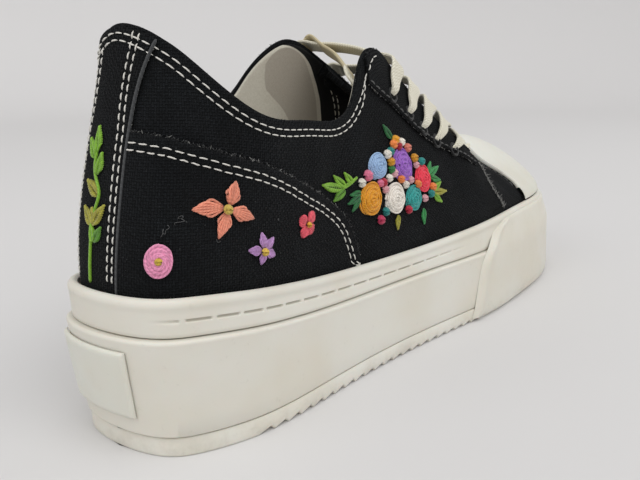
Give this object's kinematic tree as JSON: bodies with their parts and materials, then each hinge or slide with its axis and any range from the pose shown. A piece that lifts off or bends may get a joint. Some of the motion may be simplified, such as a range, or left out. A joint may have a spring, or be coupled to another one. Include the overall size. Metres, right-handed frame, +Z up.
{
  "type": "platform sneaker",
  "caption": "Low laced canvas sneaker for a right foot, hollow upper on a thick platform sole with a pale toe cap and saw ribs under the waist.",
  "frame": {"origin": "under the middle of the shoe's box, on the floor", "axes": "+X from heel to toe, +Y to the inner side of the foot, +Z up"},
  "size_m": [0.2872, 0.0964, 0.114],
  "materials": {
    "sole_rubber": "matt moulded off-white rubber",
    "black_canvas": "coarse plain-weave cotton canvas",
    "lining_cloth": "off-white cotton lining",
    "lace_cotton": "flat woven cream cotton lace"
  },
  "bodies": {
    "root": {"outsole": "sole_rubber", "midsole": "sole_rubber", "foxing": "sole_rubber", "upper": "black_canvas", "insole": "lining_cloth", "tongue": "black_canvas", "toe_bumper": "sole_rubber", "heel_plate": "sole_rubber", "toe_cap": "sole_rubber", "heel_strip": "black_canvas", "counter_outer": "black_canvas", "counter_inner": "black_canvas", "eyestay_outer": "black_canvas", "eyestay_inner": "black_canvas", "lace_bar_1": "lace_cotton", "lace_bar_2": "lace_cotton", "lace_bar_3": "lace_cotton", "lace_bar_4": "lace_cotton", "lace_bar_5": "lace_cotton", "lace_bar_6": "lace_cotton"}
  },
  "joints": []
}
